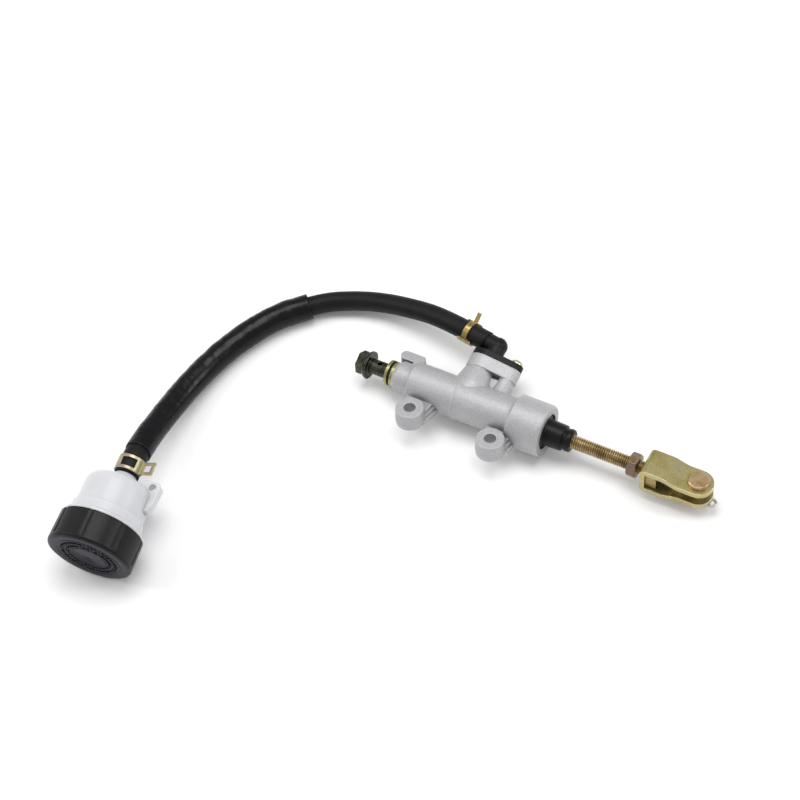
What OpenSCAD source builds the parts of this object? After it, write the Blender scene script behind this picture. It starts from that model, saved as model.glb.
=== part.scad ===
// Rear brake master cylinder with a remote reservoir on a hose, lying on a flat surface.
// Each module draws its piece about the bore: X runs along the bore towards the clevis,
// Z is the axis of the mounting holes. laid() then rolls it and puts it on the surface.

/* [Cylinder body] */
// Distance between the two mounting holes
hole_spacing = 50; // [49:0.5:51]
// Radius of the two mounting holes
hole_r = 3.5; // [3.3:0.1:3.6]
// How far the mounting holes lie beside the bore
hole_offset = 22.5; // [22:0.5:23.5]
// Radius of a mounting boss
boss_r = 8.1; // [7.8:0.1:8.4]
// Thickness of a mounting boss
boss_t = 11; // [10:0.5:12]
// Radius of the barrel
barrel_r = 11.7; // [11.4:0.1:12]
// Radius of the open end
end_r = 15; // [14.5:0.1:15.5]
// Radius of the bore
bore_r = 6.35; // [6.2:0.05:6.5]

/* [Reservoir port] */
// Tilt of the port above the plane of the mounting holes, in degrees
port_tilt = 18; // [16:20]
// Height of the port flange above the bore axis
flange_h = 26.5; // [26:0.5:27]
// Thickness of the port flange
flange_t = 7.4; // [7:0.2:7.6]
// Distance from the port to its screw
screw_reach = 17; // [16.5:0.5:17.5]

/* [Pushrod and clevis] */
// Radius of the threaded rod
rod_r = 3.98; // [3.9:0.01:4]
// Where the threaded rod ends, along the bore axis
rod_end = 121; // [118:123]
// Width across the flats of the lock nut
nut_af = 13; // [12.5:0.5:13]
// Width of the clevis outside at its base
clevis_w = 17.8; // [17:0.2:18.4]
// Height of the clevis ears
clevis_h = 16.2; // [15.8:0.2:16.6]
// Thickness of the clevis sheet
sheet_t = 3; // [2.6:0.1:3]
// Radius of the clevis pin
pin_r = 4; // [3.8:0.1:4.2]

/* [Reservoir] */
// Radius of the screw cap
cap_r = 24.5; // [24:0.1:25]
// Height of the screw cap
cap_h = 18.3; // [18:0.1:19]
// Radius of the reservoir wall
tank_r = 19.6; // [19.2:0.1:20]
// Flutes around the screw cap
flute_count = 8; // [6:10]

/* [Hose] */
// Radius of the reservoir hose
hose_r = 5.8; // [5.6:0.1:5.9]
// Outer radius of the loose outer sleeve
sleeve_r = 7.7; // [7.5:0.1:7.8]

/* [Hidden] */
$fn = 64;
eps = 0.01;

// Places along the bore axis
collar_x = -45.8;
shoulder_x = -34.9;
step_x = -5.7;
end_x = 28.7;
mouth_x = 48.7;
stop_x = 38;
bore_start_x = -30;

// The body lies rolled about its bore, its bore one end radius above the surface
body_roll = 12;
clevis_roll = 7;
origin_x = 10.5;
origin_y = 67.4;
web_drop = 4.7;

// Port and elbow
port_x = -2;
flange_r = 9.2;
lobe_r = 4.8;
port_bore_r = 4.5;
port_floor = 8.2;
seat_r = 6.2;
seat_depth = 2.2;
plate_t = 3.8;
barb_h = flange_h + 11;
barb_rise = 8;
riser_x = 2.4;
elbow_r = 5.4;
barb_start = 4.4;
barb_r = 3.4;
barb_len = 13;

// Banjo bolt and its stack
bolt_r = 4.98;
washer_t = 1.6;
spacer_t = 1.7;
bolt_flange_x = -62.7;
bolt_flange_t = 2.5;
bolt_head_t = 4.6;
bolt_tip_x = -40.5;

// Piston end
ball_x = 33.3;
ball_r = 4.5;
neck_r = 2.9;
thread_x = 53;
boot_end_x = 64.2;
nut_x = 98.1;
nut_t = 5.2;
clevis_x = 106.8;
bend_x = 120;
fork_x = 129.5;
pin_x = 137.6;
fork_w = 12.2;
thread_play = 0.05;

// Reservoir: its cap faces -Z of the frame that the reservoir modules draw in
face_x = -143;
face_y = -174.4;
tank_turn = 9;
ring_r = 23.4;
neck_r_out = 21.2;
tank_wall = 2;
tank_end = 47;
spigot_start = 52.4;
spigot_len = 12;
plate_gap = 2.5;
ear_x = 18.9;
ear_z = -48;
ear_t = 6;
ear_hole_r = 2.1;

// Hose route from the elbow's barb to the reservoir's spigot, seen from the bore's own
// origin with heights above the surface
ROUTE = [
    [-6.4, 37.9, 19], [-16, 39.3, 19.1], [-26, 40.9, 18.8], [-37, 42.6, 17.8],
    [-48, 43.8, 16.2], [-61, 44.1, 13.8], [-74, 43.7, 11.3], [-87, 41.8, 9.2],
    [-99, 38, 8.2], [-110, 32.7, 7.9], [-119.5, 25.6, 7.9], [-128.6, 17.2, 7.9],
    [-136.7, 7.4, 7.9], [-143.6, -4.7, 7.9], [-149.6, -18, 8], [-154, -33, 8.6],
    [-156.5, -48, 10], [-157.4, -64, 12.4], [-157.2, -79, 15.6], [-156.2, -92, 19],
    [-153.8, -106.8, 23.3], [-152.8, -112.7, 24.3], [-151.2, -122.6, 24.5],
];
hose_sides = 12;
hose_bore = 3.7;
hose_end_r = 7.1;
sleeve_first = 10;
sleeve_last = 20;
upper_clamp_at = 17;
lower_clamp_at = 5.6;
clamp_w = 9;
clamp_t = 1;

// ---------- placing ----------

module laid() {
    translate([origin_x, origin_y, end_r]) rotate([-body_roll, 0, 0]) children();
}

module clevis_frame() {
    translate([origin_x, origin_y, end_r]) rotate([-clevis_roll, 0, 0]) children();
}

// Z of the children runs out of the port
module on_port() {
    translate([port_x, 0, 0]) rotate([port_tilt - 90, 0, 0]) children();
}

// Z of the children runs out of the cap
module reservoir_frame() {
    translate([origin_x + face_x, origin_y + face_y, cap_r]) rotate([90, 0, tank_turn]) children();
}

// Turns a profile of [radius, place along the bore] about the bore
module turned(profile, sides = 96) {
    rotate([0, 90, 0]) rotate_extrude($fn = sides) polygon(profile);
}

module tube_x(x0, x1, r_out, r_in = 0, sides = 96) {
    translate([x0, 0, 0]) rotate([0, 90, 0]) difference() {
        cylinder(h = x1 - x0, r = r_out, $fn = sides);
        if (r_in > 0) translate([0, 0, -1]) cylinder(h = x1 - x0 + 2, r = r_in, $fn = sides);
    }
}

function arc(cx, cy, r, from, to, steps = 6) =
    [for (i = [0:steps]) let (a = from + (to - from) * i / steps) [cx + r * cos(a), cy + r * sin(a)]];

// Outline of a big round end and a small one joined by their tangents
module teardrop(big, small, reach) {
    a = acos((big - small) / reach);
    circle(r = big, $fn = 96);
    translate([reach, 0]) circle(r = small, $fn = 64);
    polygon([
        big * [cos(a), sin(a)], [reach, 0] + small * [cos(a), sin(a)],
        [reach, 0] + small * [cos(a), -sin(a)], big * [cos(a), -sin(a)],
    ]);
}

// ---------- cylinder body ----------

module barrel_form() {
    fillet = 1.7;
    turned(concat(
        [[0, collar_x], [7.5, collar_x], [9, collar_x + 2.4], [9, shoulder_x],
         [barrel_r - 0.6, shoulder_x], [barrel_r, shoulder_x + 0.6], [barrel_r, step_x - 0.6],
         [barrel_r + 0.7, step_x - 0.3], [barrel_r + 0.7, step_x + 0.2], [barrel_r + 0.2, step_x + 0.8]],
        [[barrel_r + 0.2, end_x - fillet]],
        arc(barrel_r + 0.2 + fillet, end_x - fillet, fillet, 180, 90, 5),
        [[end_r - 0.8, end_x], [end_r, end_x + 0.8], [end_r, mouth_x - 1], [end_r - 0.8, mouth_x],
         [0, mouth_x]]
    ));
}

module boss() {
    half = boss_t / 2;
    rotate_extrude($fn = 96) polygon([
        [0, -half], [boss_r - 0.6, -half], [boss_r, -half + 0.6], [boss_r, -half + 2.4],
        [boss_r + 0.25, -half + 2.8], [boss_r + 0.25, -half + 4.6], [boss_r, -half + 5],
        [boss_r - 0.1, half - 0.6], [boss_r - 0.6, half], [0, half],
    ]);
}

// Web between a boss and the barrel, lower than the boss and stepped down its right-hand
// side; the boss is at [0, 0] and the web's top edge lies in the barrel
module web(left, right, top) {
    foot = boss_r * 0.8;
    for (step = [[1, 0], [-0.8, 1.6], [-2.6, 3.2]])
        translate([0, 0, -web_drop]) linear_extrude(web_drop + step[0]) polygon([
            [-foot, 0], [left, top], [right + step[1], top], [right - 0.8 + step[1], top - 4.6],
            [foot + step[1] * 0.8, 2.4 - step[1] * 0.6], [0, -2],
        ]);
}

module webs() {
    for (x = [-1, 1]) translate([x * hole_spacing / 2, -hole_offset, 0]) web(-8, 8.4, hole_offset - 9);
}

// Stop that keeps the hose eye from turning
module stop_tab() {
    half = 3.5;
    translate([0, 0, -half]) linear_extrude(2 * half) {
        translate([-47, 13.4]) circle(r = 3.1, $fn = 48);
        translate([-47, 10.3]) square([10, 6.2]);
        translate([-40.5, 6]) square([5.4, 8.5]);
        translate([-37, 14.6]) circle(r = 1.9, $fn = 32);
    }
}

module port_form() {
    rotate_extrude($fn = 96) polygon(concat(
        [[0, 1], [11.2, 1], [11.2, 8.6], [10.6, 11.6], [9.8, 15], [flange_r - 0.4, 19]],
        [[flange_r - 0.4, flange_h - 1], [0, flange_h - 1]]
    ));
    translate([0, 0, flange_h - flange_t]) linear_extrude(flange_t) teardrop(flange_r, lobe_r, screw_reach);
    translate([screw_reach - 0.6, 0, 8]) rotate_extrude($fn = 64)
        polygon([[0, 0], [5.9, 0], [5.3, 4], [4.9, 7], [4.7, flange_h - 9], [0, flange_h - 9]]);
    translate([0, -3.4, 8]) cube([screw_reach, 6.8, 9]);
}

module cylinder_body() color("silver") laid() difference() {
    union() {
        barrel_form();
        for (x = [-1, 1]) translate([x * hole_spacing / 2, -hole_offset, 0]) boss();
        webs();
        stop_tab();
        on_port() port_form();
    }
    for (x = [-1, 1]) translate([x * hole_spacing / 2, -hole_offset, -20]) cylinder(h = 40, r = hole_r, $fn = 64);
    tube_x(collar_x - 1, -36, bolt_r + thread_play);
    tube_x(-36 - eps, bore_start_x + eps, 2);
    tube_x(bore_start_x, stop_x + eps, bore_r);
    tube_x(stop_x, mouth_x + 1, 10.3);
    tube_x(stop_x + 1.5, stop_x + 2.9, 11.2);
    on_port() {
        translate([0, 0, port_floor]) cylinder(h = 30, r = port_bore_r, $fn = 64);
        translate([0, 0, flange_h - seat_depth]) cylinder(h = 5, r = seat_r, $fn = 64);
        translate([-2.9, 0, 3]) cylinder(h = 7, r = 0.4, $fn = 16);
        translate([3, 0, 3]) cylinder(h = 7, r = 1.2, $fn = 24);
        translate([screw_reach, 0, flange_h - 12]) cylinder(h = 14, r = 2.05, $fn = 32);
    }
}

// ---------- banjo bolt and its washers ----------

module banjo_bolt() color("dimgray") laid() difference() {
    union() {
        translate([bolt_flange_x - bolt_flange_t - bolt_head_t, 0, 0]) rotate([0, 90, 0])
            cylinder(h = bolt_head_t + eps, r = 6 / cos(30), $fn = 6);
        turned([
            [0, bolt_flange_x - bolt_flange_t], [7.2, bolt_flange_x - bolt_flange_t],
            [8.2, bolt_flange_x - 1], [8.2, bolt_flange_x], [0, bolt_flange_x],
        ]);
        tube_x(bolt_flange_x - eps, -50, 4.4);
        turned([
            [0, -50.4], [4.4, -50.4], [bolt_r, -49.8], [bolt_r, bolt_tip_x - 0.8],
            [bolt_r - 0.8, bolt_tip_x], [0, bolt_tip_x],
        ]);
    }
    tube_x(-59, bolt_tip_x + 1, 1.75, 0, 48);
    translate([-56.7, 0, -8]) cylinder(h = 16, r = 1.5, $fn = 32);
}

module washer_ring(x0, x1, r) {
    tube_x(x0, x1, r, bolt_r + 0.15);
}

module crush_washers() color("gold") laid() {
    washer_ring(collar_x - washer_t, collar_x, 7.4);
    washer_ring(collar_x - 2 * washer_t - spacer_t, collar_x - washer_t - spacer_t, 7.4);
}

module eye_spacer() color("black") laid()
    washer_ring(collar_x - washer_t - spacer_t, collar_x - washer_t, 7.3);

// ---------- inside the bore ----------

piston_nose = -0.8;
cup_t = 2.8;
rear_cup_x = 24;

module piston() color("lightgray") laid() difference() {
    turned([
        [0, piston_nose - 2.4], [2.6, piston_nose - 2.4], [2.6, piston_nose], [bore_r - 0.05, piston_nose],
        [bore_r - 0.05, piston_nose + 1.6], [3.6, piston_nose + 2.2], [3.6, rear_cup_x - 2.2],
        [bore_r - 0.05, rear_cup_x - 1.6], [bore_r - 0.05, rear_cup_x], [4, rear_cup_x],
        [4, rear_cup_x + cup_t], [bore_r - 0.05, rear_cup_x + cup_t], [bore_r - 0.05, stop_x - 0.02],
        [0, stop_x - 0.02],
    ]);
    tube_x(ball_x, stop_x + 1, ball_r + 0.1);
    translate([ball_x, 0, 0]) sphere(r = ball_r + 0.1, $fn = 64);
}

// Rubber cup whose lip opens towards the pressure side
module cup(x, r_in) {
    turned([
        [r_in, x], [r_in, x + cup_t], [bore_r - 0.5, x + cup_t], [bore_r - 0.05, x + cup_t - 0.8],
        [bore_r - 0.02, x], [bore_r - 0.7, x], [bore_r - 1.1, x + 1.4], [r_in + 0.9, x + 1.4],
        [r_in + 0.7, x],
    ]);
}

module primary_cup() color("black") laid() cup(piston_nose - cup_t, 2.65);

module secondary_cup() color("black") laid() cup(rear_cup_x, 4.05);

module spring_seat() color("silver") laid() turned([
    [0, -6.2], [3.4, -6.2], [3.4, -4.6], [5, -4.6], [5, -3.7], [2.4, -3.7], [2.4, -4.6], [0, -4.6],
]);

// Ring i of a tube of given radii swept along points p, as points
function unit(v) = v / norm(v);
function tangent(p, i) = unit(p[min(i + 1, len(p) - 1)] - p[max(i - 1, 0)]);
function side_of(t) = unit(cross(t, abs(t[2]) > 0.9 ? [1, 0, 0] : [0, 0, 1]));
function ring(c, t, r, n) = let (s = side_of(t), u = cross(s, t))
    [for (k = [0:n - 1]) let (a = 360 * k / n) c + r * cos(a) * s + r * sin(a) * u];

module sweep(p, r, n) {
    last = (len(p) - 1) * n;
    polyhedron(
        points = [for (i = [0:len(p) - 1]) each ring(p[i], tangent(p, i), r, n)],
        faces = concat(
            [[for (k = [0:n - 1]) k]],
            [for (i = [0:len(p) - 2]) for (k = [0:n - 1]) let (a = i * n + k, b = i * n + (k + 1) % n)
                each [[a, a + n, b], [b, a + n, b + n]]],
            [[for (k = [n - 1:-1:0]) last + k]]
        )
    );
}

// A hollow tube is its outer wall, its inner wall turned inside out and a ring at each end
module sweep_hollow(p, r_out, r_in, n) {
    m = len(p) * n;
    last = (len(p) - 1) * n;
    function wall(base, i, k) = base + i * n + k % n;
    polyhedron(
        points = concat(
            [for (i = [0:len(p) - 1]) each ring(p[i], tangent(p, i), r_out[i], n)],
            [for (i = [0:len(p) - 1]) each ring(p[i], tangent(p, i), r_in, n)]
        ),
        faces = [for (k = [0:n - 1]) each concat(
            [for (i = [0:len(p) - 2]) each [
                [wall(0, i, k), wall(0, i + 1, k), wall(0, i, k + 1)],
                [wall(0, i, k + 1), wall(0, i + 1, k), wall(0, i + 1, k + 1)],
                [wall(m, i, k), wall(m, i, k + 1), wall(m, i + 1, k)],
                [wall(m, i, k + 1), wall(m, i + 1, k + 1), wall(m, i + 1, k)],
            ]],
            [[wall(0, 0, k), wall(0, 0, k + 1), wall(m, 0, k)],
             [wall(0, 0, k + 1), wall(m, 0, k + 1), wall(m, 0, k)],
             [last + k, wall(m + last, 0, k), last + (k + 1) % n],
             [last + (k + 1) % n, wall(m + last, 0, k), wall(m + last, 0, k + 1)]]
        )]
    );
}

module return_spring() color("silver") laid() {
    turns = 7;
    steps = 14;
    wire_r = 0.5;
    coil_r = 4.4;
    x0 = bore_start_x + wire_r + 0.05;
    x1 = -4.6 - wire_r - 0.1;
    sweep([for (i = [0:turns * steps]) let (a = 360 * i / steps)
        [x0 + (x1 - x0) * i / (turns * steps), coil_r * cos(a), coil_r * sin(a)]], wire_r, 6);
}

module stop_washer() color("silver") laid() tube_x(stop_x, stop_x + 1.4, 10, 4.1);

module circlip() color("dimgray") laid() translate([stop_x + 1.55, 0, 0]) rotate([0, 90, 0]) {
    rotate([0, 0, 20]) rotate_extrude(angle = 320, $fn = 96) translate([8.6, 0]) square([2.4, 1.25]);
    for (a = [26, -26]) rotate([0, 0, a]) difference() {
        translate([8.2, 0, 0]) cylinder(h = 1.25, r = 1.5, $fn = 32);
        translate([8.2, 0, -1]) cylinder(h = 4, r = 0.7, $fn = 24);
    }
}

module dust_boot() color("black") laid() turned(concat(
    [[10.2, 44.6], [10.2, 47.6], [8.8, 48], [7.8, 48.8], [7.6, 50.2], [7.3, 58.2]],
    arc(6.3, 58.4, 1, 0, 90, 4),
    [[5.9, 59.4], [5.9, 60.6], [6.3, 60.9], [6.5, 62], [6.3, 63.6], [5.6, boot_end_x],
     [rod_r + 0.06, boot_end_x], [rod_r + 0.06, 61.4], [5.3, 60.4], [5.6, 57.4], [5.9, 50.4],
     [6.6, 47.2], [8, 44.6]]
));

module pushrod() color("goldenrod") laid() turned(concat(
    arc(0, ball_x, ball_r, -90, acos(neck_r / ball_r), 14),
    [[neck_r, thread_x - 1], [rod_r, thread_x], [rod_r, rod_end - 1], [rod_r - 1, rod_end], [0, rod_end]]
));

// ---------- clevis ----------

module rod_hole(x0, x1) {
    tube_x(x0, x1, rod_r + thread_play);
}

module lock_nut() color("rosybrown") clevis_frame() difference() {
    intersection() {
        translate([nut_x, 0, 0]) rotate([0, 90, 0]) rotate([0, 0, 30])
            cylinder(h = nut_t, r = nut_af / 2 / cos(30), $fn = 6);
        turned([
            [0, nut_x], [nut_af / 2 - 0.1, nut_x], [nut_af / 2 + 1.2, nut_x + 0.9],
            [nut_af / 2 + 1.2, nut_x + nut_t - 0.9], [nut_af / 2 - 0.1, nut_x + nut_t], [0, nut_x + nut_t],
        ]);
    }
    rod_hole(nut_x - 1, nut_x + nut_t + 1);
}

function flipped(points) = [for (i = [len(points) - 1:-1:0]) [points[i][0], -points[i][1]]];

// Folded sheet seen along the ears' height: the base, then the ears closing to the fork
module clevis_sheet() {
    w = clevis_w / 2;
    f = fork_w / 2;
    bend = 3.4;
    tip = pin_x + clevis_h / 2;
    side = concat(
        arc(clevis_x + bend, w - bend, bend, 180, 90),
        [[bend_x, w], [bend_x + 2, w - 0.4], [fork_x - 2, f + 0.4], [fork_x, f], [tip, f]],
        [[tip, f - sheet_t], [fork_x - 0.4, f - sheet_t], [fork_x - 2.6, f - sheet_t + 0.4],
         [bend_x + 1.2, w - sheet_t - 0.4], [bend_x - 0.6, w - sheet_t]],
        arc(clevis_x + bend, w - bend, bend - sheet_t, 90, 180, 4)
    );
    rotate([90, 0, 0]) translate([0, 0, -clevis_h / 2]) linear_extrude(clevis_h)
        polygon(concat(side, flipped(side)));
}

module clevis() color("khaki") clevis_frame() difference() {
    intersection() {
        clevis_sheet();
        translate([0, 0, -clevis_w]) linear_extrude(2 * clevis_w) {
            translate([clevis_x - 1, -clevis_h / 2]) square([pin_x - clevis_x + 1, clevis_h]);
            translate([pin_x, 0]) circle(r = clevis_h / 2, $fn = 96);
        }
    }
    rod_hole(clevis_x - 1, clevis_x + sheet_t + 1);
    translate([pin_x, 0, -clevis_w]) cylinder(h = 2 * clevis_w, r = pin_r + 0.05, $fn = 64);
}

clevis_nut_x = clevis_x + sheet_t;

module clevis_nut() color("gold") clevis_frame() difference() {
    translate([clevis_nut_x, -6.3, -5.4]) cube([6, 12.6, 10.8]);
    rod_hole(clevis_nut_x - 1, clevis_nut_x + 7);
}

pin_head_t = 2.4;
pin_tail = 3.8;
pin_hole = fork_w / 2 + 1.9;
pin_head_r = 5.8;

module clevis_pin() color("tan") clevis_frame() translate([pin_x, 0, 0]) difference() {
    union() {
        translate([0, 0, -fork_w / 2 - pin_tail]) cylinder(h = fork_w + pin_tail + 1, r = pin_r, $fn = 64);
        translate([0, 0, fork_w / 2 + 0.05]) rotate_extrude($fn = 64) polygon([
            [0, 0], [pin_head_r, 0], [pin_head_r, pin_head_t - 0.5], [pin_head_r - 0.5, pin_head_t],
            [0, pin_head_t],
        ]);
    }
    translate([-10, 0, -pin_hole]) rotate([0, 90, 0]) cylinder(h = 20, r = 0.85, $fn = 24);
}

module pin_washer() color("tan") clevis_frame()
    translate([pin_x, 0, -fork_w / 2 - 0.85]) difference() {
        cylinder(h = 0.8, r = 6.2, $fn = 64);
        translate([0, 0, -1]) cylinder(h = 4, r = pin_r + 0.1, $fn = 64);
    }

// Split pin: a doubled wire through the clevis pin with an open eye at one end
module cotter_pin() color("silver") clevis_frame() translate([pin_x, 0, -pin_hole]) {
    wire = 0.75;
    translate([-7, 0, 0]) rotate([0, 90, 0]) cylinder(h = 13.2, r = wire, $fn = 24);
    translate([8.2, 0, 0]) rotate_extrude($fn = 48) translate([2.2, 0]) circle(r = wire + 0.05, $fn = 24);
    translate([-7, 0, 0]) sphere(r = wire + 0.05, $fn = 24);
    translate([-7, 0, 0]) rotate([0, -90, 35]) cylinder(h = 3, r = wire, $fn = 24);
}

// ---------- elbow on the port ----------

module port_elbow() color("black") laid() on_port() {
    difference() {
        translate([0, 0, flange_h]) linear_extrude(plate_t)
            teardrop(flange_r - 0.2, lobe_r - 0.2, screw_reach);
        translate([screw_reach, 0, 0]) cylinder(h = 60, r = 2.3, $fn = 32);
    }
    translate([0, 0, port_floor + 6]) difference() {
        cylinder(h = flange_h - port_floor - 5, r = port_bore_r - 0.3, $fn = 64);
        translate([0, 0, -1]) cylinder(h = 10, r = 2.6, $fn = 32);
    }
    translate([riser_x, 0, flange_h + 1]) cylinder(h = barb_h - flange_h - 1, r = elbow_r - 0.2, $fn = 64);
    translate([riser_x, 0, barb_h]) sphere(r = elbow_r, $fn = 64);
    translate([riser_x + 3, -0.8, flange_h + 2]) cube([4.6, 1.6, 4]);
    translate([0, 0, barb_h]) rotate([0, -90 + barb_rise, 0]) {
        translate([0, 0, -riser_x]) cylinder(h = riser_x + barb_start, r = elbow_r - 0.1, $fn = 64);
        cylinder(h = barb_start + barb_len, r = barb_r, $fn = 48);
    }
}

module elbow_o_ring() color("black") laid() on_port()
    translate([0, 0, flange_h - 1.1]) rotate_extrude($fn = 64) translate([5.2, 0]) circle(r = 0.95, $fn = 32);

module elbow_screw() color("gold") laid() on_port() translate([screw_reach, 0, flange_h + plate_t]) {
    translate([0, 0, -12]) cylinder(h = 12.5, r = 2, $fn = 48);
    difference() {
        rotate_extrude($fn = 64) polygon(concat([[0, 0], [3.7, 0], [3.7, 1]], arc(1.2, 0.4, 2.5, 20, 80), [[0, 2.9]]));
        for (a = [0, 90]) rotate([0, 0, a]) translate([-2.2, -0.5, 1.5]) cube([4.4, 1, 4]);
    }
}

// ---------- hose ----------

route = [for (p = ROUTE) p + [origin_x, origin_y, 0]];
sleeve_route = [for (i = [sleeve_first:sleeve_last]) route[i]];

// The hose is stretched wider over the tank's spigot
hose_radii = [for (i = [0:len(route) - 1]) i > sleeve_last ? hose_end_r : hose_r];

module hose() color("black") sweep_hollow(route, hose_radii, hose_bore, hose_sides);

module hose_sleeve() color("black")
    sweep_hollow(sleeve_route, [for (p = sleeve_route) sleeve_r], hose_r + 0.4, hose_sides);

// Sprung band around a hose of radius r: wide at the back, with a window on one side and a
// narrow tongue on the other; Z of its frame is the hose
module hose_clamp(r) {
    difference() {
        cylinder(h = clamp_w, r = r + clamp_t, center = true, $fn = 64);
        cylinder(h = clamp_w + 2, r = r, center = true, $fn = 64);
        rotate([0, 0, 40]) translate([0, 0, -1.8]) cube([r + 3, r + 3, 3.6]);
        for (z = [1.7, -1.7 - clamp_w]) rotate([0, 0, 230]) translate([0, 0, z]) cube([r + 3, r + 3, clamp_w]);
    }
}

module clamp_ear(r) {
    translate([r, -0.2, 0]) difference() {
        translate([0, 0, -4]) cube([10, clamp_t, 8]);
        translate([2.6, -1, -2]) cube([5, 3, 4]);
    }
}

module clamp_tang(r) {
    translate([r, -0.2, -1.2]) cube([6.4, clamp_t, 2.4]);
}

module upper_hose_clamp() color("gold") laid() on_port()
    translate([0, 0, barb_h]) rotate([0, barb_rise - 90, 0])
        translate([0, 0, upper_clamp_at]) rotate([0, 0, -20]) {
            hose_clamp(hose_r + 0.1);
            clamp_tang(hose_r + 0.6);
        }

module lower_hose_clamp() color("gold") reservoir_frame()
    translate([0, 0, -spigot_start - lower_clamp_at]) rotate([0, 0, 16]) {
        hose_clamp(hose_end_r + 0.1);
        clamp_ear(hose_end_r + 0.6);
    }

// ---------- reservoir ----------

// Profile of [radius, depth behind the cap's face]
function behind(points) = [for (p = points) [p[0], -p[1]]];

// Outside of the tank down to its spigot, as half a section
tank_profile = behind(concat(
    [[0, 5.2], [neck_r_out, 5.2], [neck_r_out, 18.7], [ring_r, 18.7], [ring_r, 20.3],
     [tank_r + 1.6, 21.6], [tank_r + 1.2, 27], [tank_r, 27.6]],
    arc(tank_r - 6, tank_end - 6, 6, 0, 90, 8),
    [[9, tank_end + 0.8], [6.6, spigot_start - 1.5], [6.2, spigot_start - 0.4], [barb_r, spigot_start - 0.4],
     [barb_r, spigot_start + spigot_len - 0.6], [barb_r - 0.6, spigot_start + spigot_len],
     [0, spigot_start + spigot_len]]
));

module reservoir_tank() color("white") reservoir_frame() difference() {
    rotate_extrude($fn = 128) polygon(tank_profile);
    rotate_extrude($fn = 128) polygon(behind(concat(
        [[0, 5], [neck_r_out - 2, 5], [neck_r_out - 2, 20], [tank_r - tank_wall, 22]],
        arc(tank_r - 6, tank_end - 6, 6 - tank_wall, 0, 90, 6),
        [[2.2, tank_end + 0.4], [2.2, spigot_start + spigot_len + 1], [0, spigot_start + spigot_len + 1]]
    )));
}

// Ear for the reservoir's own bolt, a flat lug along the wall up to the shoulder's side
module reservoir_ear() color("white") reservoir_frame() difference() {
    translate([0, ear_t / 2, 0]) rotate([90, 0, 0]) linear_extrude(ear_t) difference() {
        polygon(concat(
            [[12, -33], [12, -49.4]],
            arc(14.4, -49.2, 2.4, 180, 270, 4),
            arc(20.6, -48.9, 2.7, 270, 360, 6),
            [[22.9, -38], [21.4, -34], [tank_r, -33]]
        ));
        translate([ear_x, ear_z]) circle(r = ear_hole_r, $fn = 48);
    }
    rotate_extrude($fn = 128) polygon(tank_profile);
}

module reservoir_cap() color("dimgray") reservoir_frame() difference() {
    rotate_extrude($fn = 128) polygon(behind([
        [0, 0.5], [16.5, 0.5], [16.9, 0], [cap_r - 1.6, 0], [cap_r - 0.5, 0.5], [cap_r, 1.6],
        [cap_r - 0.3, cap_h], [22.6, cap_h], [22.2, cap_h - 1], [21.9, plate_gap], [0, plate_gap],
    ]));
    for (i = [0:flute_count - 1]) rotate([0, 0, 40 + 360 * i / flute_count])
        translate([cap_r + 2.3, 0, -cap_h - 1]) cylinder(h = cap_h - 1.6, r = 3, $fn = 48);
}

module diaphragm_plate() color("whitesmoke") reservoir_frame() difference() {
    translate([0, 0, -3.7]) cylinder(h = 1.1, r = 21.2, $fn = 96);
    translate([0, 0, -5]) cylinder(h = 4, r = 3, $fn = 32);
}

module diaphragm() color("black") reservoir_frame() rotate_extrude($fn = 96) polygon(behind([
    [0, 10.6], [6, 10.6], [7.5, 14], [12.5, 14], [15, 12.6], [16.4, 6.2], [17.4, 5.15], [21, 5.15], [21, 3.8],
    [16, 3.8], [15, 5], [13.6, 11.8], [12, 12.9], [8.2, 12.9], [7, 9.6], [0, 9.6],
]));

cylinder_body();
banjo_bolt();
crush_washers();
eye_spacer();
piston();
primary_cup();
secondary_cup();
return_spring();
spring_seat();
stop_washer();
circlip();
dust_boot();
pushrod();
lock_nut();
clevis();
clevis_nut();
clevis_pin();
pin_washer();
cotter_pin();
port_elbow();
elbow_o_ring();
elbow_screw();
hose();
hose_sleeve();
upper_hose_clamp();
lower_hose_clamp();
reservoir_tank();
reservoir_ear();
reservoir_cap();
diaphragm();
diaphragm_plate();
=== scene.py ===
"""Rear brake master cylinder: materials, detailed pieces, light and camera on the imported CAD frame."""

import math

import bpy
from mathutils import Matrix, Vector, noise


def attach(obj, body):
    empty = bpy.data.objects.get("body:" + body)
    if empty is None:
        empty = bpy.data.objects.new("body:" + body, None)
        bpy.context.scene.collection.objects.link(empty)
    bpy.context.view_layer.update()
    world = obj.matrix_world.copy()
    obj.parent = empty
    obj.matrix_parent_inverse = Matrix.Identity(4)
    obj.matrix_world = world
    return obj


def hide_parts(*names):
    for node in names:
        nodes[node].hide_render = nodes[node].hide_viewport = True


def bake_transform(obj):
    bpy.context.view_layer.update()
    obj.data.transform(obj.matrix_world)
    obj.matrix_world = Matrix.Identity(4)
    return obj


MM = 0.001
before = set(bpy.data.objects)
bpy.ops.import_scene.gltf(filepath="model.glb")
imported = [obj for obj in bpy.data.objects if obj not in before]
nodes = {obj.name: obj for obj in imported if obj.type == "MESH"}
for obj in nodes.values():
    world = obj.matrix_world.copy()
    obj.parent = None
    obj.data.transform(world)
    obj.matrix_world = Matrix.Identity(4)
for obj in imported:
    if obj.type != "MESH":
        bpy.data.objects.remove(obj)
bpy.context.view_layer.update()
scene = bpy.context.scene

# ---------------------------------------------------------------- frames of the CAD model

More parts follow.
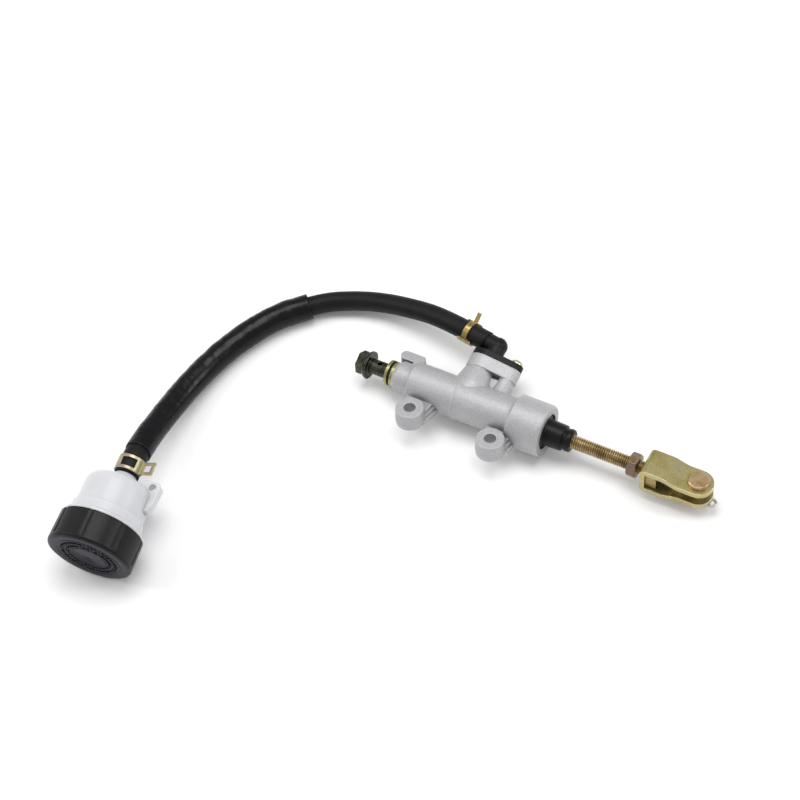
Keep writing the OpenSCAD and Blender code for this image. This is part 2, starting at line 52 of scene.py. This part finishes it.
ORIGIN_X, ORIGIN_Y = 10.5, 67.4
ORIGIN = Vector((ORIGIN_X, ORIGIN_Y, 15.0)) * MM
RIGHT_ANGLE = math.radians(90)
BODY_ROLL = math.radians(-12)
CLEVIS_ROLL = math.radians(-7)
PORT_X, PORT_TILT = -2, math.radians(18)
BARB_HEIGHT, BARB_TURN = 37.5, math.radians(-82)
RESERVOIR_AT = Vector((ORIGIN_X - 143, ORIGIN_Y - 174.4, 24.5)) * MM
RESERVOIR_TURN = math.radians(9)

body_frame = Matrix.Translation(ORIGIN) @ Matrix.Rotation(BODY_ROLL, 4, "X")
clevis_frame = Matrix.Translation(ORIGIN) @ Matrix.Rotation(CLEVIS_ROLL, 4, "X")
port_frame = (
    body_frame
    @ Matrix.Translation((PORT_X * MM, 0, 0))
    @ Matrix.Rotation(PORT_TILT - RIGHT_ANGLE, 4, "X")
)
barb_frame = (
    port_frame
    @ Matrix.Translation((0, 0, BARB_HEIGHT * MM))
    @ Matrix.Rotation(BARB_TURN, 4, "Y")
)
reservoir_frame = (
    Matrix.Translation(RESERVOIR_AT)
    @ Matrix.Rotation(RESERVOIR_TURN, 4, "Z")
    @ Matrix.Rotation(RIGHT_ANGLE, 4, "X")
)

# Hose route from the elbow to the reservoir, in millimetres: x and y from the bore's own origin,
# z from the frame's
ROUTE = [
    (-6.4, 37.9, 19), (-16, 39.3, 19.1), (-26, 40.9, 18.8), (-37, 42.6, 17.8),
    (-48, 43.8, 16.2), (-61, 44.1, 13.8), (-74, 43.7, 11.3), (-87, 41.8, 9.2),
    (-99, 38, 8.2), (-110, 32.7, 7.9), (-119.5, 25.6, 7.9), (-128.6, 17.2, 7.9),
    (-136.7, 7.4, 7.9), (-143.6, -4.7, 7.9), (-149.6, -18, 8), (-154, -33, 8.6),
    (-156.5, -48, 10), (-157.4, -64, 12.4), (-157.2, -79, 15.6), (-156.2, -92, 19),
    (-153.8, -106.8, 23.3), (-152.8, -112.7, 24.3), (-151.2, -122.6, 24.5),
]
route = [Vector((x + ORIGIN_X, y + ORIGIN_Y, z)) * MM for x, y, z in ROUTE]

# Radii of the hose, of its end on the tank's spigot, of the sleeve and of both bores
HOSE_R = 5.8 * MM
HOSE_END_R = 7.05 * MM
HOSE_BORE = 3.7 * MM
SLEEVE_R = 7.65 * MM
SLEEVE_BORE = 7.2 * MM

# The route's points that the sleeve runs between, and millimetres between rings of points
SLEEVE_FIRST, SLEEVE_LAST = 10, 20
HOSE_STEP, SLEEVE_STEP = 1.5, 0.8

# The hose widens over a run that starts this far from its end
STRETCH_START, STRETCH_RUN = 26 * MM, 9 * MM

# ---------------------------------------------------------------- node materials


class Mat:
    """A principled material and short calls that add nodes to it."""

    def __init__(self, name, roughness=0.5, metallic=0.0, **inputs):
        self.mat = bpy.data.materials.new(name)
        self.mat.use_nodes = True
        self.tree = self.mat.node_tree
        self.shader = self.tree.nodes["Principled BSDF"]
        self.set(self.shader, Roughness=roughness, Metallic=metallic)
        for key, value in inputs.items():
            self.shader.inputs[key.replace("_", " ")].default_value = value
        self.place = self.tree.nodes.new("ShaderNodeTexCoord").outputs["Object"]
        self.normal = None

    def set(self, node, **values):
        for key, value in values.items():
            node.inputs[key].default_value = value
        return node

    def node(self, kind, **settings):
        made = self.tree.nodes.new("ShaderNode" + kind)
        for key, value in settings.items():
            setattr(made, key, value)
        return made

    def link(self, a, b):
        self.tree.links.new(a, b)

    def noise(self, size_mm, detail=4.0, roughness=0.55, stretch=None):
        """Noise whose blobs are about size_mm across, drawn out by stretch along each axis."""
        made = self.node("TexNoise")
        self.set(made, Scale=1.0 / (size_mm * MM), Detail=detail, Roughness=roughness)
        place = self.place
        if stretch:
            mapping = self.node("Mapping")
            mapping.inputs["Scale"].default_value = stretch
            self.link(place, mapping.inputs["Vector"])
            place = mapping.outputs["Vector"]
        self.link(place, made.inputs["Vector"])
        return made.outputs["Fac"]

    def ramp(self, value, stops):
        """Maps value through (position, colour) stops; a colour may be one number."""
        made = self.node("ValToRGB")
        while len(made.color_ramp.elements) < len(stops):
            made.color_ramp.elements.new(0.5)
        for element, (at, colour) in zip(made.color_ramp.elements, stops):
            element.position = at
            element.color = (*colour, 1) if not isinstance(colour, float) else (colour,) * 3 + (1,)
        self.link(value, made.inputs["Fac"])
        return made.outputs["Color"]

    def mix(self, factor, a, b, blend="MIX"):
        """Mixes a and b, each a colour or a socket; the numbers are the Mix node's colour sockets."""
        made = self.node("Mix", data_type="RGBA", blend_type=blend)
        for socket, value in ((made.inputs[0], factor), (made.inputs[6], a), (made.inputs[7], b)):
            if isinstance(value, (int, float)):
                socket.default_value = value
            elif isinstance(value, tuple):
                socket.default_value = (*value, 1)
            else:
                self.link(value, socket)
        return made.outputs[2]

    def colour(self, socket):
        self.link(socket, self.shader.inputs["Base Color"])

    def rough(self, socket):
        self.link(socket, self.shader.inputs["Roughness"])

    def rounded(self, radius_mm):
        """Softens the edges that light catches."""
        made = self.node("Bevel", samples=6)
        made.inputs["Radius"].default_value = radius_mm * MM
        self.normal = made.outputs["Normal"]
        self.link(self.normal, self.shader.inputs["Normal"])

    def bump(self, height, depth_mm, strength=1.0):
        made = self.node("Bump")
        self.set(made, Strength=strength, Distance=depth_mm * MM)
        self.link(height, made.inputs["Height"])
        if self.normal:
            self.link(self.normal, made.inputs["Normal"])
        self.normal = made.outputs["Normal"]
        self.link(self.normal, self.shader.inputs["Normal"])

    def edges(self, radius_mm):
        """1 along edges, 0 on flats: how far a rounded normal turns from the true one."""
        soft = self.node("Bevel", samples=8)
        soft.inputs["Radius"].default_value = radius_mm * MM
        dot = self.node("VectorMath", operation="DOT_PRODUCT")
        self.link(soft.outputs["Normal"], dot.inputs[0])
        self.link(self.node("NewGeometry").outputs["Normal"], dot.inputs[1])
        return self.ramp(dot.outputs["Value"], [(0.8, 1.0), (0.985, 0.0)])

    def painted_hollow_shade(self, reach_mm, stops):
        """Painted shade where the surface is hemmed in, as a colour to multiply by."""
        made = self.node("AmbientOcclusion", samples=8)
        made.inputs["Distance"].default_value = reach_mm * MM
        return self.ramp(made.outputs["AO"], stops)


def cast_aluminium():
    """Sand-cast skin: a fine bright grain, darker specks, painted shade in recesses and edges rubbed
    bright.
    """
    m = Mat("cast_aluminium", metallic=0.35)
    fine = m.noise(0.45, 3)
    broad = m.noise(8, 4)
    speck = m.noise(1.1, 3, 0.7)
    base = m.mix(broad, (0.37, 0.37, 0.38), (0.47, 0.47, 0.48))
    base = m.mix(m.ramp(speck, [(0.36, 0.6), (0.6, 0.0)]), base, (0.3, 0.3, 0.31))
    base = m.mix(m.ramp(fine, [(0.45, 0.0), (0.75, 0.5)]), base, (0.6, 0.6, 0.61))
    base = m.mix(m.edges(0.7), base, (0.8, 0.8, 0.81))
    # Painted shade: ambient occlusion multiplies the colour darker in recesses and where parts meet
    m.colour(m.mix(1.0, base, m.painted_hollow_shade(5.0, [(0.25, 0.5), (0.85, 1.0)]), "MULTIPLY"))
    m.rough(m.ramp(fine, [(0.3, 0.36), (0.7, 0.56)]))
    m.rounded(0.9)
    m.bump(broad, 0.3, 0.5)
    m.bump(fine, 0.14, 0.9)
    return m.mat


def plated(name, stops, size_mm, roughness, round_mm, wear, grain_depth=0.006, painted_shade_mm=0.0):
    """Plating whose tint drifts through stops over the piece; the last argument, when set, is how far
    painted shade reaches into its grooves.
    """
    m = Mat(name, metallic=0.9)
    drift = m.noise(size_mm, 2, 0.5)
    grain = m.noise(1.2, 2)
    first, spread, last = 0.32, 0.36, len(stops) - 1
    tint = m.ramp(drift, [(first + spread * i / last, c) for i, c in enumerate(stops)])
    tint = m.mix(m.edges(round_mm), tint, wear)
    # Painted shade in the grooves, multiplied into the tint
    if painted_shade_mm:
        tint = m.mix(1.0, tint, m.painted_hollow_shade(painted_shade_mm, [(0.3, 0.12), (0.8, 1.0)]), "MULTIPLY")
    m.colour(tint)
    m.rough(m.ramp(grain, [(0.3, roughness[0]), (0.7, roughness[1])]))
    m.rounded(round_mm)
    m.bump(grain, grain_depth, 0.2)
    return m.mat


def machined_steel(name, tint, roughness=0.3):
    """Turned steel: fine rings across the bore axis."""
    m = Mat(name, metallic=1.0)
    rings = m.noise(0.5, 2, stretch=(3.0, 0.05, 0.05))
    m.colour(m.mix(rings, tint, tuple(min(1.0, 1.25 * c) for c in tint)))
    m.rough(m.ramp(rings, [(0.3, roughness), (0.7, roughness + 0.15)]))
    m.rounded(0.25)
    m.bump(rings, 0.02, 0.5)
    return m.mat


def black_polymer(name, shade, roughness, grain_mm, depth_mm, round_mm=0.4, dust=0.02):
    """Rubber or moulded plastic with a fine grain and a little dust in broad patches."""
    m = Mat(name, Specular_IOR_Level=0.2)
    grain = m.noise(grain_mm, 3)
    broad = m.noise(14, 4)
    dusty = tuple(shade[i] + dust for i in range(3))
    m.colour(m.mix(m.ramp(broad, [(0.4, 0.0), (0.75, 1.0)]), shade, dusty))
    m.rough(m.ramp(grain, [(0.3, roughness - 0.08), (0.7, roughness + 0.1)]))
    m.rounded(round_mm)
    m.bump(grain, depth_mm, 0.7)
    return m.mat


def milky_plastic(name, shade):
    """Moulded plastic that lets a little light into its skin."""
    m = Mat(name, Subsurface_Weight=0.55, Subsurface_Scale=0.006)
    m.shader.inputs["Subsurface Radius"].default_value = (1.0, 0.95, 0.9)
    broad = m.noise(11, 3)
    grain = m.noise(0.9, 2)
    m.colour(m.mix(broad, shade, tuple(0.94 * c for c in shade)))
    m.rough(m.ramp(grain, [(0.3, 0.28), (0.7, 0.42)]))
    m.rounded(0.5)
    m.bump(grain, 0.03, 0.4)
    return m.mat


def floor_white():
    m = Mat("floor_white", roughness=0.9, Specular_IOR_Level=0.1)
    m.colour(m.mix(m.noise(900, 2), (0.93, 0.93, 0.93), (0.97, 0.97, 0.97)))
    return m.mat


MATERIALS = {
    "cast": cast_aluminium(),
    "bolt": plated(
        "blackened_steel", [(0.018, 0.02, 0.015), (0.04, 0.04, 0.03), (0.07, 0.065, 0.05)],
        size_mm=4, roughness=(0.25, 0.42), round_mm=0.35, wear=(0.32, 0.32, 0.3),
    ),
    "washer": plated(
        "washer_zinc", [(0.3, 0.27, 0.1), (0.4, 0.38, 0.16)],
        size_mm=3, roughness=(0.25, 0.38), round_mm=0.25, wear=(0.66, 0.64, 0.4),
    ),
    "yellow": plated(
        "yellow_zinc", [(0.26, 0.18, 0.06), (0.38, 0.28, 0.11), (0.3, 0.19, 0.12)],
        size_mm=4, roughness=(0.25, 0.4), round_mm=0.25, wear=(0.6, 0.5, 0.3),
    ),
    "band": plated(
        "band_zinc",
        [(0.32, 0.31, 0.19), (0.4, 0.38, 0.23), (0.38, 0.28, 0.23), (0.34, 0.28, 0.15)],
        size_mm=6, roughness=(0.3, 0.42), round_mm=0.25, wear=(0.6, 0.58, 0.4),
    ),
    "screw": plated(
        "screw_zinc", [(0.4, 0.38, 0.22), (0.55, 0.53, 0.34)],
        size_mm=3, roughness=(0.2, 0.35), round_mm=0.3, wear=(0.8, 0.8, 0.66),
    ),
    # The rod's thread grooves get painted shade
    "rod": plated(
        "rod_zinc", [(0.32, 0.22, 0.1), (0.48, 0.36, 0.18), (0.58, 0.45, 0.27)],
        size_mm=5, roughness=(0.24, 0.34), round_mm=0.08, wear=(0.8, 0.68, 0.46),
        grain_depth=0.002, painted_shade_mm=0.9,
    ),
    "nut": plated(
        "nut_zinc", [(0.2, 0.13, 0.07), (0.3, 0.21, 0.13), (0.26, 0.19, 0.16)],
        size_mm=4, roughness=(0.25, 0.42), round_mm=0.35, wear=(0.6, 0.5, 0.36),
    ),
    "clevis": plated(
        "clevis_zinc",
        [(0.37, 0.3, 0.12), (0.46, 0.4, 0.18), (0.41, 0.38, 0.21), (0.48, 0.37, 0.17)],
        size_mm=14, roughness=(0.26, 0.34), round_mm=0.5, wear=(0.86, 0.83, 0.55),
        grain_depth=0.002,
    ),
    "pin": plated(
        "pin_zinc", [(0.4, 0.24, 0.12), (0.5, 0.34, 0.19), (0.56, 0.42, 0.24)],
        size_mm=4, roughness=(0.26, 0.34), round_mm=0.4, wear=(0.85, 0.72, 0.46),
        grain_depth=0.002,
    ),
    "steel": machined_steel("bright_steel", (0.5, 0.5, 0.5)),
    "plastic": black_polymer("black_plastic", (0.004, 0.004, 0.005), 0.42, 0.8, 0.03, dust=0.003),
    "rubber": black_polymer("black_rubber", (0.004, 0.004, 0.004), 0.5, 1.1, 0.04, dust=0.003),
    "boot": black_polymer("boot_rubber", (0.004, 0.004, 0.004), 0.38, 1.4, 0.05, 0.6, 0.002),
    "sleeve": black_polymer("sleeve_vinyl", (0.003, 0.003, 0.004), 0.26, 6.0, 0.25, 0.3, 0.002),
    "tank": milky_plastic("milky_plastic", (0.6, 0.605, 0.63)),
    "white": milky_plastic("white_plastic", (0.55, 0.55, 0.54)),
    "cap": black_polymer("cap_plastic", (0.005, 0.005, 0.006), 0.36, 0.9, 0.04, 0.5, 0.003),
    "cap_face": black_polymer("cap_face_plastic", (0.03, 0.027, 0.042), 0.5, 0.7, 0.06, 0.3, 0.014),
    "floor": floor_white(),
}

NODE_MATERIALS = {
    "cylinder_body": "cast", "banjo_bolt": "bolt", "crush_washers": "washer",
    "eye_spacer": "rubber", "piston": "steel", "primary_cup": "rubber",
    "secondary_cup": "rubber", "return_spring": "steel", "spring_seat": "steel",
    "stop_washer": "steel", "circlip": "bolt", "dust_boot": "boot", "pushrod": "rod",
    "lock_nut": "nut", "clevis": "clevis", "clevis_nut": "yellow", "clevis_pin": "pin",
    "pin_washer": "pin", "cotter_pin": "steel", "port_elbow": "plastic",
    "elbow_o_ring": "rubber", "elbow_screw": "screw", "hose": "rubber",
    "hose_sleeve": "sleeve", "upper_hose_clamp": "yellow", "lower_hose_clamp": "band",
    "reservoir_tank": "tank", "reservoir_ear": "tank", "reservoir_cap": "cap",
    "diaphragm": "rubber", "diaphragm_plate": "white",
}


def dress(obj, name):
    obj.data.materials.clear()
    obj.data.materials.append(MATERIALS[name])


for node_name, material_name in NODE_MATERIALS.items():
    dress(nodes[node_name], material_name)

# ---------------------------------------------------------------- mesh building


def mesh_object(name, verts, faces, material, smooth=True):
    mesh = bpy.data.meshes.new(name)
    mesh.from_pydata([tuple(v) for v in verts], [], faces)
    mesh.update()
    if smooth:
        mesh.polygons.foreach_set("use_smooth", [True] * len(mesh.polygons))
    obj = bpy.data.objects.new(name, mesh)
    scene.collection.objects.link(obj)
    dress(obj, material)
    return obj


def grid_faces(rows, columns, closed_rows=False):
    """Quads of a tube: rows of points, each row a closed ring of columns points."""
    last = rows if closed_rows else rows - 1
    faces = []
    for i in range(last):
        for k in range(columns):
            a, b = i * columns + k, i * columns + (k + 1) % columns
            c, d = ((i + 1) % rows) * columns + k, ((i + 1) % rows) * columns + (k + 1) % columns
            faces.append((a, b, d, c))
    return faces


def revolved(name, profile, frame_matrix, material, sides=96):
    """Turns a closed profile of (radius, height) in millimetres about the frame's Z."""
    angles = [2 * math.pi * k / sides for k in range(sides)]
    verts = [
        frame_matrix @ (Vector((r * math.cos(a), r * math.sin(a), z)) * MM)
        for r, z in profile
        for a in angles
    ]
    return mesh_object(name, verts, grid_faces(len(profile), sides, True), material)


def smooth_path(points, step):
    """Catmull-Rom points a step apart along a list of points."""
    ends = [2 * points[0] - points[1]] + points + [2 * points[-1] - points[-2]]
    dense = []
    for i in range(1, len(ends) - 2):
        a, b, c, d = ends[i - 1:i + 3]
        for k in range(16):
            t = k / 16
            dense.append(0.5 * (2 * b + (c - a) * t + (2 * a - 5 * b + 4 * c - d) * t * t
                                + (3 * b - a - 3 * c + d) * t ** 3))
    dense.append(ends[-2])
    lengths = [0.0]
    for p, q in zip(dense, dense[1:]):
        lengths.append(lengths[-1] + (q - p).length)
    count = max(2, round(lengths[-1] / step))
    path, j = [], 0
    for i in range(count + 1):
        want = lengths[-1] * i / count
        while j < len(dense) - 2 and lengths[j + 1] < want:
            j += 1
        t = (want - lengths[j]) / max(1e-9, lengths[j + 1] - lengths[j])
        path.append(dense[j].lerp(dense[j + 1], min(1.0, max(0.0, t))))
    return path


def path_frames(path):
    """At each point: the point, its tangent, a level side vector and an upward one."""
    made = []
    for i, p in enumerate(path):
        t = (path[min(i + 1, len(path) - 1)] - path[max(i - 1, 0)]).normalized()
        side = t.cross(Vector((0, 0, 1))).normalized()
        made.append((p, t, side, side.cross(t)))
    return made


def tube(name, path, radius, bore, material, sides=48, shape=None):
    """A tube with a bore of radius bore along path; shape(i, angle) scales the outer radius."""
    frames = path_frames(path)
    rings = []

    def ring(i, r, shaped):
        p, _, side, up = frames[i]
        for k in range(sides):
            a = 2 * math.pi * k / sides
            scale = shape(i, a) if shape and shaped else 1.0
            rings.append(p + (side * math.cos(a) + up * math.sin(a)) * r * scale)

    lip = 0.35 * MM
    last = len(path) - 1
    ring(0, radius - lip, True)
    for i in range(len(path)):
        ring(i, radius, True)
    ring(last, radius - lip, True)
    for i in range(last, -1, -1):
        ring(i, bore, False)
    return mesh_object(name, rings, grid_faces(2 * len(path) + 2, sides, True), material)


# ---------------------------------------------------------------- camera

CAMERA_AT = (0.3306, -0.3534, 0.8647)
CAMERA_TURN = (31.53, 8.24, 28.08)
LENS, SENSOR = 80.6, 36

camera = bpy.data.objects.new("camera", bpy.data.cameras.new("camera"))
scene.collection.objects.link(camera)
camera.location = CAMERA_AT
camera.rotation_euler = [math.radians(a) for a in CAMERA_TURN]
camera.data.lens = LENS
camera.data.sensor_width = SENSOR
camera.data.clip_start, camera.data.clip_end = 0.01, 20
scene.camera = camera

# ---------------------------------------------------------------- hose, sleeve and clamps

hose_path = smooth_path(route, HOSE_STEP * MM)
hose_length = sum((q - p).length for p, q in zip(hose_path, hose_path[1:]))


def stretched(i, _angle):
    """The hose widens towards its end, where it is pushed over the tank's spigot."""
    left = hose_length - i * hose_length / (len(hose_path) - 1)
    t = min(1.0, max(0.0, (STRETCH_START - left) / STRETCH_RUN))
    return 1.0 + (HOSE_END_R / HOSE_R - 1.0) * t * t * (3 - 2 * t)


hose = tube("reservoir_hose", hose_path, HOSE_R, HOSE_BORE, "rubber", shape=stretched)
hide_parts("hose")
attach(hose, "housing")

sleeve_path = smooth_path(route[SLEEVE_FIRST:SLEEVE_LAST + 1], SLEEVE_STEP * MM)


def wrinkles(i, angle):
    """Soft dents and finer folds along the side of the sleeve that faces up and inwards."""
    along, facing_angle = i * SLEEVE_STEP, math.radians(60)
    dent_length, dent_depth = 7.0, 0.045
    fold_length, fold_depth = 2.6, 0.02
    facing = max(0.0, math.cos(angle - facing_angle))
    dents = noise.noise(Vector((along / dent_length, 0.8 * math.cos(angle), 0.8 * math.sin(angle))))
    folds = noise.noise(Vector((along / fold_length, 1.5 * math.cos(angle), 3.1)))
    return 1.0 + dent_depth * facing * dents + fold_depth * facing * folds


sleeve = tube("outer_sleeve", sleeve_path, SLEEVE_R, SLEEVE_BORE, "sleeve", 64, wrinkles)
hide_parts("hose_sleeve")
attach(sleeve, "housing")


def strip(name, outline, place, thickness, material):
    """Sheet strip along outline, which lists ((x, y), half width) in place's XY plane."""
    verts, faces = [], []
    count = len(outline)
    for i, ((x, y), half) in enumerate(outline):
        before, after = outline[max(i - 1, 0)][0], outline[min(i + 1, count - 1)][0]
        dx, dy = after[0] - before[0], after[1] - before[1]
        size = math.hypot(dx, dy) or 1.0
        nx, ny = -dy / size * thickness / 2, dx / size * thickness / 2
        for sx, sz in ((1, -1), (1, 1), (-1, 1), (-1, -1)):
            verts.append(place @ (Vector((x + sx * nx, y + sx * ny, sz * half)) * MM))
    for i in range(count - 1):
        for k in range(4):
            a, b = i * 4 + k, i * 4 + (k + 1) % 4
            faces.append((a, b, b + 4, a + 4))
    faces += [(3, 2, 1, 0), tuple(4 * (count - 1) + k for k in range(4))]
    return mesh_object(name, verts, faces, material, smooth=False)


def loop(r, start, end, half, steps=40):
    """Part of a ring of radius r as strip points; half(t) is its half width at fraction t."""
    return [
        ((r * math.cos(a), r * math.sin(a)), half(i / steps))
        for i in range(steps + 1)
        for a in [math.radians(start + (end - start) * i / steps)]
    ]


def joined(name, parts):
    bpy.ops.object.select_all(action="DESELECT")
    for part in parts:
        part.select_set(True)
    bpy.context.view_layer.objects.active = parts[0]
    bpy.ops.object.join()
    parts[0].name = name
    return parts[0]


BAND_T = 0.9
BAND_HALF, EAR_HALF, RAIL_HALF, TONGUE_HALF, TIP_HALF = 4.5, 4.0, 0.95, 1.7, 1.25
UPPER_CLAMP_AT, LOWER_CLAMP_AT = 17, -58


def spring_clamp(name, place, turn, r, framed, material):
    """Sprung band round a hose of radius r: a full-width back, a window and a tongue.

    A framed clamp has an ear with a window standing up, the other one the tongue's narrow tip."""
    at = place @ Matrix.Rotation(math.radians(turn), 4, "Z")
    r += BAND_T / 2
    parts = []

    def piece(outline, z=0.0):
        parts.append(strip(name, outline, at @ Matrix.Translation((0, 0, z * MM)), BAND_T, material))

    def rails(outline, half):
        """The two narrow strips beside a window, along the edges of a band of this half width."""
        for side in (-1, 1):
            piece(outline, side * (half - RAIL_HALF))

    def tongue(t):
        """Half width of the tongue: the band's at its root, then narrow within a ninth of it."""
        return TONGUE_HALF + (BAND_HALF - TONGUE_HALF) * max(0.0, 1.0 - t * 9) ** 2

    piece(loop(r, 98, 216, lambda t: BAND_HALF))
    rails(loop(r, 30, 99, lambda t: RAIL_HALF), BAND_HALF)
    piece(loop(r, -4, 31, lambda t: BAND_HALF, 12))
    piece(loop(r - 0.25, 215, 364 if framed else 372, tongue))
    if framed:
        piece([((r - 0.3, -0.5), EAR_HALF), ((r + 1.4, -0.4), EAR_HALF), ((r + 2.4, -0.3), EAR_HALF)])
        rails([((r + 2.2, -0.3), RAIL_HALF), ((r + 8.0, 0.3), RAIL_HALF)], EAR_HALF)
        piece([((r + 7.2, 0.25), EAR_HALF), ((r + 9.6, 0.5), EAR_HALF)])
    else:
        piece([((r - 0.2, 0.9), TIP_HALF), ((r + 2.0, 0.7), TIP_HALF), ((r + 6.2, 0.2), TIP_HALF)])
    clamp = joined(name, parts)
    soft = clamp.modifiers.new("soft", "BEVEL")
    soft.width, soft.segments = 0.18 * MM, 2
    return clamp


upper_place = barb_frame @ Matrix.Translation((0, 0, UPPER_CLAMP_AT * MM))
upper_clamp = spring_clamp("upper_clamp", upper_place, turn=-20, r=5.85, framed=False, material="yellow")
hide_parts("upper_hose_clamp")
lower_place = reservoir_frame @ Matrix.Translation((0, 0, LOWER_CLAMP_AT * MM))
lower_clamp = spring_clamp("lower_clamp", lower_place, turn=16, r=7.1, framed=True, material="band")
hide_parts("lower_hose_clamp")
for clamp in (upper_clamp, lower_clamp):
    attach(clamp, "housing")

# ---------------------------------------------------------------- threaded rod

THREAD_FROM, THREAD_TO, PITCH = 53.0, 121.0, 1.25
CREST_R, ROOT_R, THREAD_FLAT = 3.98, 3.24, 0.12
CHAMFER_LENGTH, CHAMFER_SLOPE = 1.0, 0.8
BALL_X, BALL_R = 33.3, 4.5
NECK_FROM, NECK_TO, NECK_R = 37.2, 52.2, 2.9
ROD_SIDES, STEPS_A_TURN = 36, 10


def thread_radius(x, angle):
    """Triangular thread with a small flat on crest and root, chamfered at the clevis end."""
    phase = (x / PITCH - angle / (2 * math.pi)) % 1.0
    rise = min(1.0, max(0.0, (abs(phase - 0.5) * 2 - THREAD_FLAT) / (1 - 2 * THREAD_FLAT)))
    radius = ROOT_R + (CREST_R - ROOT_R) * rise
    chamfer = max(0.0, x - (THREAD_TO - CHAMFER_LENGTH))
    return min(radius, CREST_R - chamfer * CHAMFER_SLOPE)


def threaded_rod():
    """Ball end, plain neck and thread, as rings of points along the clevis frame's X."""
    angles = [2 * math.pi * k / ROD_SIDES for k in range(ROD_SIDES)]
    ball = [math.radians(d) for d in range(4, 142, 8)]
    sections = [(BALL_X - BALL_R * math.cos(a), BALL_R * math.sin(a)) for a in ball]
    sections += [(NECK_FROM, NECK_R), (NECK_TO, NECK_R)]
    rings = [[(x, r, a) for a in angles] for x, r in sections]
    step = PITCH / STEPS_A_TURN
    for i in range(round((THREAD_TO - THREAD_FROM) / step) + 1):
        x = THREAD_FROM + i * step
        rings.append([(x, thread_radius(x, a), a) for a in angles])
    verts = [
        clevis_frame @ (Vector((x, r * math.cos(a), r * math.sin(a))) * MM)
        for ring in rings
        for x, r, a in ring
    ]
    faces = grid_faces(len(rings), ROD_SIDES)
    faces.append(tuple(range(ROD_SIDES - 1, -1, -1)))
    faces.append(tuple(range((len(rings) - 1) * ROD_SIDES, len(rings) * ROD_SIDES)))
    made = mesh_object("threaded_rod", verts, faces, "rod")
    split = made.modifiers.new("edges", "EDGE_SPLIT")
    split.split_angle = math.radians(50)
    return made


rod = threaded_rod()
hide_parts("pushrod")
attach(rod, "rod")

# ---------------------------------------------------------------- copied pieces


def copy_of(node_name, name, material):
    """A piece of its own with a CAD node's shape and the given material, standing in for the node, which
    it hides.
    """
    mesh = nodes[node_name].data.copy()
    obj = bpy.data.objects.new(name, mesh)
    scene.collection.objects.link(obj)
    dress(obj, material)
    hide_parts(node_name)
    return obj


boot = copy_of("dust_boot", "rubber_boot", "boot")
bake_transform(boot)

spring = copy_of("return_spring", "coil_spring", "steel")
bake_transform(spring)

# ---------------------------------------------------------------- cap face pattern


def raised_block(place, long, wide, low, high):
    """A small block with sloping sides on place's XY plane, sizes in millimetres, in the black cap
    plastic: its darkness against the face is painted shade.
    """
    verts = [place @ (Vector((sx * long / 2, sy * wide / 2, z)) * MM)
             for z, k in ((low, 1.0), (high, 0.78)) for sx, sy in ((-k, -k), (k, -k), (k, k), (-k, k))]
    faces = [(0, 3, 2, 1), (4, 5, 6, 7)] + [(j, (j + 1) % 4, 4 + (j + 1) % 4, 4 + j) for j in range(4)]
    return mesh_object("cap_block", verts, faces, "cap", smooth=False)


def cap_face():
    """A thin disc on the cap's face with a generic raised pattern: two rings and two rows of strokes."""
    # (radius, height) over the disc's top from its middle outwards, then back under it
    disc = [(0.2, -0.25), (17.4, -0.25), (17.8, 0.12), (22.4, 0.12), (22.8, 0.02)]
    disc += [(22.8, -0.55), (0.2, -0.55)]
    # Inner and outer radius, and the heights of foot and top
    rings = ((18.2, 19.0, 0.0, 0.4), (9.4, 9.9, -0.4, 0.05))
    slope = 0.15
    # Radius of a row, its count of strokes and their length
    rows = ((15.6, 44, 2.3), (12.1, 34, 2.1))
    stroke_leans, stroke_wide, stroke_low, stroke_high = (0, 38, 90, -30, 0, 62), 0.85, -0.35, 0.45

    parts = [revolved("cap_disc", disc, reservoir_frame, "cap_face")]
    for r_in, r_out, low, high in rings:
        profile = [(r_in, low), (r_in + slope, high), (r_out - slope, high), (r_out, low)]
        parts.append(revolved("cap_ring", profile, reservoir_frame, "cap_face"))
    # The strokes are drawn in the black cap plastic as painted shade; the rings keep the face plastic.
    for radius, count, long in rows:
        for i in range(count):
            turn = Matrix.Rotation(2 * math.pi * i / count, 4, "Z")
            lean = Matrix.Rotation(math.radians(stroke_leans[i % len(stroke_leans)]), 4, "Z")
            place = reservoir_frame @ turn @ Matrix.Translation((radius * MM, 0, 0)) @ lean
            parts.append(raised_block(place, long, stroke_wide, stroke_low, stroke_high))
    return joined("cap_face_pattern", parts)


pattern = cap_face()
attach(pattern, "cap")

# ---------------------------------------------------------------- floor and light


def floor():
    reach = 6.0
    corners = [(-reach, -reach, 0), (reach, -reach, 0), (reach, reach, 0), (-reach, reach, 0)]
    obj = mesh_object("floor", corners, [(0, 1, 2, 3)], "floor", smooth=False)


def area_light(name, at, size, power):
    """A rectangular lamp that points at the frame's origin."""
    data = bpy.data.lights.new(name, "AREA")
    data.shape = "RECTANGLE"
    data.size, data.size_y = size
    data.energy = power
    obj = bpy.data.objects.new(name, data)
    scene.collection.objects.link(obj)
    obj.location = at
    obj.rotation_mode = "QUATERNION"
    obj.rotation_quaternion = (-Vector(at)).to_track_quat("-Z", "Y")


def world_light(strength):
    world = bpy.data.worlds.new("studio")
    world.use_nodes = True
    background = world.node_tree.nodes["Background"]
    background.inputs["Color"].default_value = (1.0, 1.0, 1.0, 1.0)
    background.inputs["Strength"].default_value = strength
    scene.world = world


floor()
world_light(0.55)
area_light("overhead", (0.0, 0.25, 1.1), (0.9, 0.5), 7)
area_light("left", (-0.9, -0.2, 0.7), (0.4, 0.9), 4)
area_light("right", (0.9, 0.5, 0.6), (0.3, 0.6), 3)
scene.view_settings.view_transform = "Standard"
